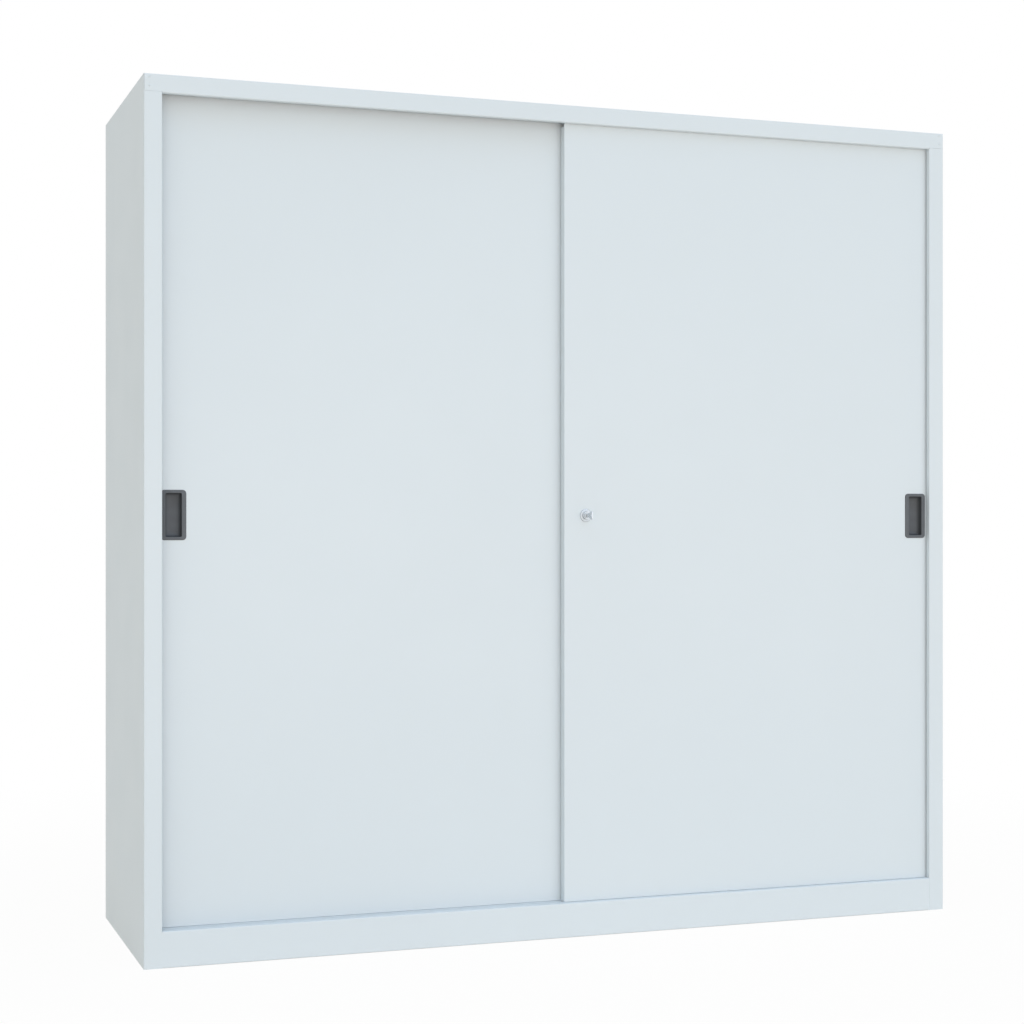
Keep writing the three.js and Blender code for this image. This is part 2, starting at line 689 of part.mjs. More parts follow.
function buildDoor(name, left, face, pullPlace, extraCut) {
  const group = addGroup(left, face, doorBottom);
  let tray = doorTray().subtract(pullOpening(pullPlace));
  if (extraCut) tray = tray.subtract(extraCut);
  const guides = [guide.fromEdge, doorWidth - guide.fromEdge];
  for (const x of guides) tray = tray.subtract(guideOpening(x));
  addPiece(group, `${name}_door_panel`, tray, enamel);
  addPiece(group, `${name}_door_top_rail`, doorTopRail(), enamel);
  addPiece(group, `${name}_door_stiffener`, doorStiffener(), enamel);
  addPiece(group, `${name}_door_pull`, recessedPull(), darkPlastic).position
    .set(pullPlace, 0, pull.centre - doorBottom);
  const ends = [['left', roller.fromEdge, guides[0]], ['right', doorWidth - roller.fromEdge, guides[1]]];
  for (const [end, rollerPlace, guidePlace] of ends) {
    const axlePlace = axle - doorBottom;
    addPiece(group, `${name}_door_${end}_hanger`, hangerPlate(), galvanised).position
      .set(rollerPlace, 0, axlePlace);
    addPiece(group, `${name}_door_${end}_roller`, grooveRoller(), nylon).position
      .set(rollerPlace, track.lipCentre, axlePlace);
    addPiece(group, `${name}_door_${end}_guide`, lowerGuide(), nylon).position.x = guidePlace;
  }
  return group;
}

function buildLock(group) {
  const place = [lock.fromEdge, 0, lock.centre - doorBottom];
  addPiece(group, 'lock_sleeve', lockSleeve(), plating).position.set(...place);
  addPiece(group, 'lock_nut', lockNut(), plating).position.set(...place);
  addPiece(group, 'lock_cylinder', lockCylinder(), plating).position.set(...place);
  addPiece(group, 'lock_plug', lockPlug(), plating).position.set(...place);
  addPiece(group, 'lock_key', lockKey(), plating).position.set(...place);
}

buildCarcass();
buildTrack('front', door.behindPost, rightDoorLeft, rightDoorTravel, 0);
buildTrack('rear', leftDoorFace, door.fromSide, 0, leftDoorTravel);
buildShelves();

const leftDoor = buildDoor('left', door.fromSide, leftDoorFace, pull.fromEdge);
addPiece(leftDoor, 'left_door_striker', doorStriker(), galvanised);

const lockHeight = lock.centre - doorBottom;
const lockHole = rod(sleeve.radius + gap, [-overrun, doorSheet + overrun], lock.fromEdge, lockHeight);
const rightDoor = buildDoor('right', rightDoorLeft, door.behindPost, doorWidth - pull.fromEdge, lockHole);
buildLock(rightDoor);

export default part;
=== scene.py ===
"""Sliding door cabinet of folded sheet steel: its finishes, fine pieces, light and camera.

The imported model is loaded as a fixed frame. Pieces below are worked out in millimetres about
their own places, which are read from the frame, and put into their meshes in metres.
"""
import json
import math

import bmesh
import bpy
import numpy as np
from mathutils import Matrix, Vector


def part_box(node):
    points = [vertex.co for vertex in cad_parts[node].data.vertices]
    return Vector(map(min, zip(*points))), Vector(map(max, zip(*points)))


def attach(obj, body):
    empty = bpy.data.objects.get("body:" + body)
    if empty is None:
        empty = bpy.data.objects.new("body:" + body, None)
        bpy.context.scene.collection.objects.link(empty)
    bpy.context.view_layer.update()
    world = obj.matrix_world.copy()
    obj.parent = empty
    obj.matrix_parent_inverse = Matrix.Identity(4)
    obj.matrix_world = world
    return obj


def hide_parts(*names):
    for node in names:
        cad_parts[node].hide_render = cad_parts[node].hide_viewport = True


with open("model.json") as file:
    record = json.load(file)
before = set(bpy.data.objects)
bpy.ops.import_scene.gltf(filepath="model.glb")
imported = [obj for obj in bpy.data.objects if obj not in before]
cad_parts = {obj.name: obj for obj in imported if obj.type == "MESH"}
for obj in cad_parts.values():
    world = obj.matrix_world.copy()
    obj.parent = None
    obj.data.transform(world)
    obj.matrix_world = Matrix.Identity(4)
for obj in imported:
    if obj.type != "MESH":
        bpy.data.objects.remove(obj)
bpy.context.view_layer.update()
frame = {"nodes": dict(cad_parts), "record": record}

MM = 0.001
ORIGIN = (0.0, 0.0, 0.0)
WHITE = (1.0, 1.0, 1.0, 1.0)

# Camera, fitted to the edges of the photographed cabinet
CAMERA_PLACE = (-1.66635, -4.56901, 0.97302)
CAMERA_TURN = -19.5449
CAMERA_LENS = 68.682
CAMERA_SHIFT = 0.0100

# Lamps and surroundings. Height and side are the angles that a lamp's light comes from in degrees,
# and its softness is the angle that it fills.
AROUND_COLOUR = (0.558, 0.568, 0.537)
LAMPS = {
    "side lamp": {
        "colour": (0.50, 0.75, 1.0),
        "strength": 0.377,
        "softness": 60,
        "height": 8,
        "side": 30,
    },
    "ceiling lamp": {
        "colour": (0.415, 0.646, 1.0),
        "strength": 0.817,
        "softness": 60,
        "height": 65,
        "side": 0,
    },
}
SOFTBOX = {"colour": (1.0, 0.838, 0.744), "power": 80.9, "size": (9.0, 1.8), "place": (0.3, -5.5, 0.95)}

# Floor, in metres
FLOOR = {
    "colour": (0.96, 0.90, 0.82),
    "half_size": 30.0,
    "near": 1.2,
    "far": 3.0,
    "white_share": 0.95,
    "under": (0.9995, 0.2995),
}

# Finishes, by the record's slots. The colour is the surface's own in plain light, the values go
# into the effect, the bump is its strength and the depth of the effect's height in metres, and the
# sockets are the shader's own.
FINISHES = {
    "enamel": {
        "name": "satin enamel",
        "effect": "powder coat",
        "colour": (0.730, 0.785, 0.812),
        "values": {"Roughness": 0.42, "Dimples": 650.0},
        "bump": (0.25, 0.00002),
        "sockets": {},
    },
    "galvanised_steel": {
        "name": "galvanised sheet",
        "effect": "rolled zinc",
        "colour": (0.60, 0.62, 0.64),
        "values": {"Spangles": 55.0},
        "bump": (0.3, 0.00002),
        "sockets": {"Metallic": 1.0},
    },
    "pull_plastic": {
        "name": "grained pull plastic",
        "effect": "moulded grain",
        "colour": (0.141, 0.150, 0.160),
        "values": {"Roughness": 0.50, "Grain": 1600.0},
        "bump": (0.35, 0.00006),
        "sockets": {"Specular IOR Level": 0.15},
    },
    "nylon": {
        "name": "roller nylon",
        "effect": "moulded grain",
        "colour": (0.78, 0.77, 0.72),
        "values": {"Roughness": 0.45, "Grain": 900.0},
        "bump": (0.2, 0.00003),
        "sockets": {"Subsurface Weight": 0.05},
    },
    "buffer_rubber": {
        "name": "buffer rubber",
        "effect": "moulded grain",
        "colour": (0.025, 0.025, 0.027),
        "values": {"Roughness": 0.82, "Grain": 700.0},
        "bump": (0.4, 0.00006),
        "sockets": {},
    },
    "lock_plating": {
        "name": "turned lock plating",
        "effect": "turned metal",
        "colour": (0.585, 0.625, 0.65),
        "values": {"Roughness": 0.52, "Rings": 2600.0},
        "bump": (0.3, 0.00003),
        "sockets": {"Metallic": 1.0},
    },
    "key_plating": {
        "name": "key plating",
        "effect": "turned metal",
        "colour": (0.70, 0.73, 0.76),
        "values": {"Roughness": 0.50, "Rings": 900.0},
        "bump": (0.2, 0.00002),
        "sockets": {"Metallic": 1.0},
    },
}

# Noises in the effects: scale, detail, lowest value and highest value
ENAMEL_CLOUDS = (1.4, 3, 0.992, 1.008)
ENAMEL_GLOSS = (7.0, 2, -0.03, 0.03)
GRAIN_CLOUDS = (55.0, 3, 0.96, 1.04)
GRAIN_GLOSS = (120.0, 2, -0.05, 0.05)
PLATING_GLOSS = (300.0, 3, -0.04, 0.06)

# Ranges in the effects, from lowest to highest, and how far the zinc's rolling marks are stretched
NOISE_MIDDLE = (0.3, 0.7)
SPANGLE_TONE = (0.90, 1.10)
SPANGLE_ROUGHNESS = (0.30, 0.46)
RING_TONE = (0.95, 1.05)
ROLLING_SCALE = (6.0, 900.0, 900.0)

# Mesh working values: lengths in millimetres, the angle in degrees
SAME_PLACE = 0.0005
LEAST_CORNER = 0.3
SHARP_ANGLE = 32
ARC_STEPS = 6
CORNER_STEPS = 8
THREAD_STEPS = 8
ROUND_SIDES = 96
FLANGE_SIDES = 32
SMALL_SIDES = 24
HEXAGON_SIDES = 6
OUTLINE_SAMPLES = 1152

# Recessed pull, about the middle of its door's front face. The seat is its distance off the door.
PULL = {
    "flange": 1.8,
    "ridge": 0.4,
    "seat": 0.3,
    "recess": 16.0,
    "wall": 1.5,
    "opening": (36.0, 97.0),
    "opening_corner": 3.0,
    "ridge_inset": 3.4,
    "rim_edge": 1.7,
    "mouth_edge": 0.8,
    "floor_edge": 11.0,
    "size": (56.5, 111.0),
    "corner": 8.0,
}
# Painted shade in each pull's cup: the tone at and past the opening's edge, the tone over its middle, and in
# millimetres the reach inwards over which it lightens and the depth behind the flange's face over which it
# fades in
CUP_PAINTED_SHADE = {"wall": 0.50, "middle": 0.97, "reach": 6.0, "fade": 1.0}

# Lock, about its axis and the door's front face. Rounds are the radii of a profile's corners.
ROSETTE = {
    "radius": 15.0,
    "front": -3.0,
    "seat": -0.3,
    "fall": 0.4,
    "groove": 11.6,
    "groove_depth": 0.35,
    "rounds": [0.3, 0.2, 0.3, 0.2, 1.6, 0],
}
SLEEVE = {"bore": 9.3, "radius": 11.0, "rear": 15.0, "thread_pitch": 1.0, "thread_depth": 0.45}
BARREL = {
    "radius": 9.0,
    "bore": 6.3,
    "front": -6.0,
    "rear": 14.0,
    "wall": 2.0,
    "rounds": [0.2, 0.25, 0.7, 0.4, 0.3, 0.6],
}
PLUNGER = {"radius": 4.0, "tip": 20.0}
PLUG = {"radius": 6.0, "flat": 5.0, "front": -6.3, "rear": 11.7, "rounds": [0.4, 0.4]}
KEYWAY = {"width": 2.6, "height": 8.0, "floor": 10.7, "corner": 0.3}
KEY = {
    "thickness": 2.0,
    "face": -6.3,
    "seat": 0.3,
    "neck_height": 8.0,
    "neck_in_bow": 1.8,
    "blade_height": 7.4,
    "blade_thickness": 1.8,
    "tip": 10.4,
    "point": 2.4,
    "bow_start": 9.0,
    "bow": 25.0,
    "bow_height": 22.0,
    "bow_rounds": [4.0, 0.8, 0.8, 4.0],
    "hole": 2.2,
    "hole_inset": 6.0,
    "edge": 0.45,
}
BITE_SHARES = [0.30, 0.46, 0.62, 0.78]
BITE = {"depth": 1.3, "half_length": 0.9}

# Roller, about its pin
WHEEL = {
    "radius": 11.5,
    "groove": 9.0,
    "half": 4.0,
    "hub": 6.4,
    "mouth": 2.2,
    "floor": 1.05,
    "rounds": [0.3, 0.6, 0.5, 0.4, 0.4, 0.5, 0.6, 0.3],
}
BEARING = {"bore": 3.3, "outer": 6.2, "half": 3.6, "shield": 0.5, "race": 1.1, "edge": 0.15}

# Small fasteners
RIVET = {
    "radius": 3.0,
    "height": 1.0,
    "pit": 1.3,
    "pit_depth": 0.75,
    "inset": 12.6,
    "drops": (6.5, 26.8),
}
SCREW = {
    "flange": 5.2,
    "flange_height": 0.8,
    "flange_rounds": [0.2, 0.3],
    "across": 7.0,
    "head": 3.2,
    "chamfer": (0.6, 0.5),
    "shank": 2.7,
    "depth": 5.0,
    "height": 22.0,
    "spacing": 22.0,
}

# Ground welds between the kick plate's ends and the posts' bends
FOOT_WELD = {
    "inner": 959.4,
    "width": 2.6,
    "depth": 1.6,
    "sunk": (0.1, 0.6),
    "drop": 1.2,
    "corner": 0.2,
}


def box_mm(node):
    """A node's lowest and highest corners at rest, in millimetres."""
    low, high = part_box(node)
    return np.array(low) / MM, np.array(high) / MM


def middle_mm(node, behind):
    """A node's middle in X and Z, at a distance behind its foremost point, in millimetres."""
    low, high = box_mm(node)
    x, _, z = (low + high) / 2
    return np.array([x, low[1] + behind, z])


def filleted(corners, radii):
    """An open line whose inner corners are arcs. A radius of nothing leaves a corner sharp.

    At a corner P with unit directions a and b to its neighbours and the angle t between them, an
    arc of radius r has its centre at P + (a + b) / |a + b| r / sin(t / 2). Its points turn evenly
    from P + a r / tan(t / 2) to P + b r / tan(t / 2).
    """
    corners = np.asarray(corners, dtype=float)
    runs = [corners[:1]]
    for before, corner, after, radius in zip(corners, corners[1:], corners[2:], radii):
        if not radius:
            runs.append(corner[None])
            continue
        a = (before - corner) / np.linalg.norm(before - corner)
        b = (after - corner) / np.linalg.norm(after - corner)
        half = math.acos(np.clip(a @ b, -1, 1)) / 2
        centre = corner + (a + b) / np.linalg.norm(a + b) * radius / math.sin(half)
        first = corner + a * radius / math.tan(half) - centre
        last = corner + b * radius / math.tan(half) - centre
        sweep = math.pi - 2 * half
        share = np.linspace(0, 1, ARC_STEPS)[:, None]
        turned = np.sin((1 - share) * sweep) * first + np.sin(share * sweep) * last
        runs.append(centre + turned / math.sin(sweep))
    runs.append(corners[-1:])
    return np.concatenate(runs)


def closed_outline(corners, radii):
    """A closed line whose corners are arcs, with no point twice."""
    return filleted([corners[-1], *corners, corners[0]], radii)[1:-1]


def revolved(profile, sides=ROUND_SIDES):
    """Rings about the Y axis: a profile point of radius r and depth y, turned by t, stands at
    (r cos t, y, r sin t)."""
    turn = np.linspace(0, 2 * np.pi, sides, endpoint=False)
    radius, depth = np.asarray(profile, dtype=float).T[..., None]
    x = radius * np.cos(turn)
    return np.stack([x, np.broadcast_to(depth, x.shape), radius * np.sin(turn)], axis=-1)


def rectangle_rows(outline, grow, depth):
    """Rows for rectangle_rings: an outline's half width, half height and corner radius, grown
    outwards by some amounts at some depths. The corners keep a least radius."""
    grow, depth = np.broadcast_arrays(np.atleast_1d(grow).astype(float), np.atleast_1d(depth).astype(float))
    half_width, half_height, corner = outline
    corners = np.maximum(corner + grow, LEAST_CORNER)
    return np.stack([half_width + grow, half_height + grow, corners, depth], axis=-1)


def rectangle_rings(rows):
    """Rings of rounded rectangles across Y, one for each row of half width a, half height b,
    corner radius r and depth. A corner's centre stands at (+-(a - r), +-(b - r)), and its points
    at r (cos t, sin t) from it, over a quarter turn."""
    turn = np.linspace(0, np.pi / 2, CORNER_STEPS) + np.arange(4)[:, None] * np.pi / 2
    signs = np.array([[1, 1], [-1, 1], [-1, -1], [1, -1]])
    half_width, half_height, corner, depth = np.asarray(rows).T[..., None, None]
    x = signs[:, :1] * (half_width - corner) + corner * np.cos(turn)
    z = signs[:, 1:] * (half_height - corner) + corner * np.sin(turn)
    rings = np.stack([x, np.broadcast_to(depth, x.shape), z], axis=-1)
    return rings.reshape(len(rings), -1, 3)


def shell(rings, looped=False):
    """A closed shell from a grid of closed rings. Quads join each ring to the next one, and the
    last ring either joins the first or is closed by a flat face, as the first then is too."""
    count, around = rings.shape[:2]
    row = np.arange(count if looped else count - 1)[:, None]
    here, above = row * around, (row + 1) % count * around
    column = np.arange(around)[None, :]
    beside = (column + 1) % around
    corners = [here + column, here + beside, above + beside, above + column]
    blocks = [np.stack(corners, axis=-1).reshape(-1, 4)]
    if not looped:
        ring = np.arange(around)
        blocks += [ring[None, ::-1], ring[None] + (count - 1) * around]
    return rings.reshape(-1, 3), blocks


def moved(piece_shell, place):
    """A shell at another place."""
    points, blocks = piece_shell
    return points + place, blocks


def add_piece(name, shells, place, material, body, stands_for=()):
    """One piece made of closed shells, put at its place: points that meet are merged, faces are
    turned outwards, and edges over the sharp angle stay crisp."""
    points = np.concatenate([shell_points for shell_points, _ in shells]) + place
    faces = []
    first = 0
    for shell_points, blocks in shells:
        for block in blocks:
            faces += (block + first).tolist()
        first += len(shell_points)
    mesh = bpy.data.meshes.new(name)
    mesh.from_pydata((points * MM).tolist(), [], faces)
    mended = bmesh.new()
    mended.from_mesh(mesh)
    bmesh.ops.remove_doubles(mended, verts=mended.verts, dist=SAME_PLACE * MM)
    bmesh.ops.recalc_face_normals(mended, faces=mended.faces)
    mended.to_mesh(mesh)
    mended.free()
    mesh.shade_smooth()
    mesh.set_sharp_from_angle(angle=math.radians(SHARP_ANGLE))
    mesh.materials.append(material)
    piece = bpy.data.objects.new(name, mesh)
    bpy.context.scene.collection.objects.link(piece)
    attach(piece, body)
    if stands_for:
        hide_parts(*stands_for)
    return piece


def break_edges(piece, width):
    """Rounds a piece's sharp edges by a width in millimetres."""
    rounding = piece.modifiers.new("broken edges", "BEVEL")
    rounding.width = width * MM
    rounding.segments = 2
    rounding.limit_method = "ANGLE"
    rounding.angle_limit = math.radians(SHARP_ANGLE)


def emptied_tree(owner):
    """The node tree of a material or a world, with no node left in it."""
    owner.use_nodes = True
    owner.node_tree.nodes.clear()
    return owner.node_tree


def new_node(tree, kind, inputs=None, **settings):
    """A node with its settings. Each of the inputs is a value, or another node's output to link."""
    made = tree.nodes.new(kind)
    for key, value in settings.items():
        setattr(made, key, value)
    for key, value in (inputs or {}).items():
        if isinstance(value, bpy.types.NodeSocket):
            tree.links.new(value, made.inputs[key])
        else:
            made.inputs[key].default_value = value
    return made


def combined(tree, operation, first, second):
    """The result of a calculation with two numbers."""
    return new_node(tree, "ShaderNodeMath", {0: first, 1: second}, operation=operation).outputs["Value"]


def spread(tree, value, low, high, first=0.0, last=1.0):
    """A value between a first and a last one, spread from a low to a high one."""
    ends = {"From Min": first, "From Max": last, "To Min": low, "To Max": high}
    return new_node(tree, "ShaderNodeMapRange", {"Value": value, **ends}).outputs["Result"]


def noise_range(tree, point, scale, detail, low, high):
    """Noise of a given scale, whose middle is spread from a low to a high value."""
    noise = new_node(tree, "ShaderNodeTexNoise", {"Vector": point, "Scale": scale, "Detail": detail})
    return spread(tree, noise.outputs["Fac"], low, high, *NOISE_MIDDLE)


def toned(tree, colour, tone):
    """A colour times a tone."""
    scaled = new_node(tree, "ShaderNodeVectorMath", {0: colour, "Scale": tone}, operation="SCALE")
    return scaled.outputs["Vector"]


def past_sides(tree, point, half_size, axes):
    """How far a point is past the sides of a box about the origin: the greater of |u| - a and
    |v| - b along two axes, where a and b are the box's half sizes. It is below zero inside."""
    aside = new_node(tree, "ShaderNodeVectorMath", {0: point}, operation="ABSOLUTE")
    terms = {0: aside.outputs["Vector"], 1: half_size}
    past = new_node(tree, "ShaderNodeVectorMath", terms, operation="SUBTRACT")
    margins = new_node(tree, "ShaderNodeSeparateXYZ", {"Vector": past.outputs["Vector"]})
    first, second = [margins.outputs[axis] for axis in axes]
    return combined(tree, "MAXIMUM", first, second)


def new_effect(name, values):
    """An empty shader group that takes a point, a colour and some named values, and gives a
    surface's colour, roughness and height. With it come the outputs of its input node."""
    tree = bpy.data.node_groups.new(name, "ShaderNodeTree")
    takes = {"Point": "NodeSocketVector", "Colour": "NodeSocketColor"}
    takes.update({value: "NodeSocketFloat" for value in values})
    gives = {"Colour": "NodeSocketColor", "Roughness": "NodeSocketFloat", "Height": "NodeSocketFloat"}
    for sockets, way in ((takes, "INPUT"), (gives, "OUTPUT")):
        for socket, kind in sockets.items():
            tree.interface.new_socket(name=socket, in_out=way, socket_type=kind)
    return tree, tree.nodes.new("NodeGroupInput").outputs


def ended_effect(tree, colour, roughness, height):
    """The shader group, with its three results linked."""
    new_node(tree, "NodeGroupOutput", {"Colour": colour, "Roughness": roughness, "Height": height})
    return tree


def powder_coat_effect():
    """Powder coat: slow clouds of tone, cured roughness and the fine dimples of its skin."""
    tree, given = new_effect("powder coat", ["Roughness", "Dimples"])
    tone = noise_range(tree, given["Point"], *ENAMEL_CLOUDS)
    gloss = noise_range(tree, given["Point"], *ENAMEL_GLOSS)
    skin = {"Vector": given["Point"], "Scale": given["Dimples"], "Detail": 2.0}
    dimples = new_node(tree, "ShaderNodeTexNoise", skin)
    colour = toned(tree, given["Colour"], tone)
    roughness = combined(tree, "ADD", given["Roughness"], gloss)
    return ended_effect(tree, colour, roughness, dimples.outputs["Fac"])


def rolled_zinc_effect():
    """Zinc-coated sheet: spangles of differing tone and gloss, with fine rolling marks."""
    tree, given = new_effect("rolled zinc", ["Spangles"])
    pattern = {"Vector": given["Point"], "Scale": given["Spangles"]}
    spangles = new_node(tree, "ShaderNodeTexVoronoi", pattern)
    grey = new_node(tree, "ShaderNodeRGBToBW", {"Color": spangles.outputs["Color"]}).outputs["Val"]
    rolled = new_node(tree, "ShaderNodeMapping", {"Vector": given["Point"], "Scale": ROLLING_SCALE})
    streaks = {"Vector": rolled.outputs["Vector"], "Scale": 1.0, "Detail": 2.0}
    marks = new_node(tree, "ShaderNodeTexNoise", streaks)
    colour = toned(tree, given["Colour"], spread(tree, grey, *SPANGLE_TONE))
    roughness = spread(tree, grey, *SPANGLE_ROUGHNESS)
    return ended_effect(tree, colour, roughness, marks.outputs["Fac"])


def moulded_grain_effect():
    """Moulded plastic or rubber: an even spark-eroded grain, with slight clouds of tone and gloss."""
    tree, given = new_effect("moulded grain", ["Roughness", "Grain"])
    tone = noise_range(tree, given["Point"], *GRAIN_CLOUDS)
    gloss = noise_range(tree, given["Point"], *GRAIN_GLOSS)
    pattern = {"Vector": given["Point"], "Scale": given["Grain"]}
    grain = new_node(tree, "ShaderNodeTexVoronoi", pattern, feature="SMOOTH_F1")
    colour = toned(tree, given["Colour"], tone)
    roughness = combined(tree, "ADD", given["Roughness"], gloss)
    return ended_effect(tree, colour, roughness, grain.outputs["Distance"])


def grain_and_painted_shade_effect(moulded_grain):
    """Moulded grain with painted shade on the walls of a pull's cup and round its rim. Behind the flange's
    face, the painted shade lightens over a short reach inwards from the opening's edge."""
    tree, given = new_effect("grain and painted shade", ["Roughness", "Grain"])
    takes = {socket: given[socket] for socket in ("Point", "Colour", "Roughness", "Grain")}
    grain = new_node(tree, "ShaderNodeGroup", takes, node_tree=moulded_grain).outputs
    width, height = PULL["opening"]
    # Painted shade: darkest at and past the opening's edge, lighter over the reach into the cup, and only
    # behind the flange's face
    past_edge = past_sides(tree, given["Point"], (width / 2 * MM, 0.0, height / 2 * MM), "XZ")
    inwards = spread(tree, past_edge, CUP_PAINTED_SHADE["wall"], CUP_PAINTED_SHADE["middle"], 0.0, -CUP_PAINTED_SHADE["reach"] * MM)
    depth = new_node(tree, "ShaderNodeSeparateXYZ", {"Vector": given["Point"]}).outputs["Y"]
    face = -PULL["flange"] * MM
    tone = spread(tree, depth, 1.0, inwards, face, face + CUP_PAINTED_SHADE["fade"] * MM)
    colour = toned(tree, grain["Colour"], tone)
    return ended_effect(tree, colour, grain["Roughness"], grain["Height"])


def turned_metal_effect():
    """Turned and plated metal: rings of tone and height about the Y axis of the given point."""
    tree, given = new_effect("turned metal", ["Roughness", "Rings"])
    across = {0: given["Point"], 1: (1.0, 0.0, 1.0)}
    flat = new_node(tree, "ShaderNodeVectorMath", across, operation="MULTIPLY").outputs["Vector"]
    radius = new_node(tree, "ShaderNodeVectorMath", {0: flat}, operation="LENGTH").outputs["Value"]
    pattern = {"W": radius, "Scale": given["Rings"], "Detail": 3.0}
    rings = new_node(tree, "ShaderNodeTexNoise", pattern, noise_dimensions="1D").outputs["Fac"]
    gloss = noise_range(tree, given["Point"], *PLATING_GLOSS)
    colour = toned(tree, given["Colour"], spread(tree, rings, *RING_TONE, *NOISE_MIDDLE))
    roughness = combined(tree, "ADD", given["Roughness"], gloss)
    return ended_effect(tree, colour, roughness, rings)


def new_finish(name, effect, finish, centre=ORIGIN):
    """A material that reads object coordinates, about a centre in metres, through one effect."""
    material = bpy.data.materials.new(name)
    tree = emptied_tree(material)
    place = new_node(tree, "ShaderNodeTexCoord").outputs["Object"]
    centring = {"Vector": place, "Location": [-value for value in centre]}
    point = new_node(tree, "ShaderNodeMapping", centring).outputs["Vector"]
    takes = {"Point": point, "Colour": (*finish["colour"], 1.0), **finish["values"]}
    surface = new_node(tree, "ShaderNodeGroup", takes, node_tree=effect).outputs
    strength, depth = finish["bump"]
    bump = {"Strength": strength, "Distance": depth, "Height": surface["Height"]}
    relief = new_node(tree, "ShaderNodeBump", bump)
    varied = {
        "Base Color": surface["Colour"],
        "Roughness": surface["Roughness"],
        "Normal": relief.outputs["Normal"],
    }
    shader = new_node(tree, "ShaderNodeBsdfPrincipled", finish["sockets"] | varied)
    new_node(tree, "ShaderNodeOutputMaterial", {"Surface": shader.outputs["BSDF"]})
    return material


def build_finishes(lock_axis, pull_centres):
    """One material for each door's pull, whose grain and painted cup shade are centred on it, and one for
    each of the record's slots. Turned metal is centred on the lock's axis."""
    effects = {
        "powder coat": powder_coat_effect(),
        "rolled zinc": rolled_zinc_effect(),
        "moulded grain": moulded_grain_effect(),
        "turned metal": turned_metal_effect(),
    }
    grain_and_painted_shade = grain_and_painted_shade_effect(effects["moulded grain"])
    finishes = {}
    for door, centre in pull_centres.items():
        # Each pull's own material, with painted shade in its cup
        name = f"{door}_pull_plastic"
        finishes[f"{door}_pull"] = new_finish(name, grain_and_painted_shade, FINISHES["pull_plastic"], centre)
    for slot, finish in FINISHES.items():
        centre = lock_axis if finish["effect"] == "turned metal" else ORIGIN
        finishes[slot] = new_finish(finish["name"], effects[finish["effect"]], finish, centre)
    return finishes


def pull_rings():
    """The pull's skin, as rounded rectangles from the recess floor up its wall, over the ridge and
    the flange, round the rim and down the back of the cup. Each rounded edge of radius e is a
    quarter turn: e sin t along one face while e cos t is left of the other."""
    quarter = np.linspace(0, np.pi / 2, ARC_STEPS)
    sine, cosine = np.sin(quarter), np.cos(quarter)
    width, height = PULL["opening"]
    opening = (width / 2, height / 2, PULL["opening_corner"])
    inset = PULL["ridge_inset"]
    ridge = (width / 2 + inset, height / 2 + inset, PULL["opening_corner"] + inset)
    rim = (PULL["size"][0] / 2, PULL["size"][1] / 2, PULL["corner"])
    cup = (width / 2 + PULL["wall"], height / 2 + PULL["wall"], PULL["opening_corner"] + PULL["wall"])
    top = -PULL["flange"] - PULL["ridge"]
    floor, mouth, edge, step = PULL["floor_edge"], PULL["mouth_edge"], PULL["rim_edge"], PULL["ridge"]
    rear = PULL["recess"] + PULL["wall"]
    return rectangle_rings(np.concatenate([
        rectangle_rows(opening, floor * (sine - 1), PULL["recess"] + floor * (cosine - 1)),
        rectangle_rows(opening, mouth * (1 - cosine), top + mouth * (1 - sine)),
        rectangle_rows(ridge, step * (sine - 1), top + step * (1 - cosine)),
        rectangle_rows(rim, edge * (sine - 1), -PULL["flange"] + edge * (1 - cosine)),
        rectangle_rows(rim, 0, -PULL["seat"]),
        rectangle_rows(cup, 0, -PULL["seat"]),
        rectangle_rows(cup, mouth * (cosine - 1), rear + mouth * (sine - 1)),
    ]))


def build_pull(door, place, material):
    """A door's recessed pull, in the place of its CAD node."""
    name = f"{door}_recessed_pull"
    add_piece(name, [shell(pull_rings())], place, material, door, [f"{door}_pull"])


def rosette_rings():
    """The rosette: a turned face that falls slightly to a rounded edge, with a shallow groove whose
    sides run out at twice its depth."""
    front, seat, bore = ROSETTE["front"], ROSETTE["seat"], SLEEVE["bore"]
    radius, groove, dip = ROSETTE["radius"], ROSETTE["groove"], ROSETTE["groove_depth"]
    corners = [
        [bore, seat],
        [bore, front],
        [groove - 2 * dip, front],
        [groove, front + dip],
        [groove + 2 * dip, front],
        [radius, front + ROSETTE["fall"]],
        [radius, seat],
        [bore, seat],
    ]
    return revolved(filleted(corners, ROSETTE["rounds"])[:-1])


def thread_rings():
    """The sleeve's thread and bore. The thread is a helix on a grid of turn t and depth y: its
    radius falls from the crest by the thread's depth times twice the distance of y / pitch -
    t / 2 pi from a whole number."""
    seat, rear, pitch = ROSETTE["seat"], SLEEVE["rear"], SLEEVE["thread_pitch"]
    depth = np.linspace(seat, rear, THREAD_STEPS * round((rear - seat) / pitch) + 1)[:, None]
    turn = np.linspace(0, 2 * np.pi, ROUND_SIDES, endpoint=False)[None]
    phase = depth / pitch - turn / (2 * np.pi)
    radius = SLEEVE["radius"] - SLEEVE["thread_depth"] * 2 * np.abs(phase - np.round(phase))
    thread = [radius * np.cos(turn), np.broadcast_to(depth, radius.shape), radius * np.sin(turn)]
    bore = revolved([[SLEEVE["bore"], rear], [SLEEVE["bore"], seat]])
    return np.concatenate([np.stack(thread, axis=-1), bore])


def build_rosette(place, material):
    """The lock's rosette and threaded sleeve."""
    shells = [shell(rosette_rings(), looped=True), shell(thread_rings(), looped=True)]
    add_piece("lock_rosette", shells, place, material, "right_door", ["lock_sleeve"])


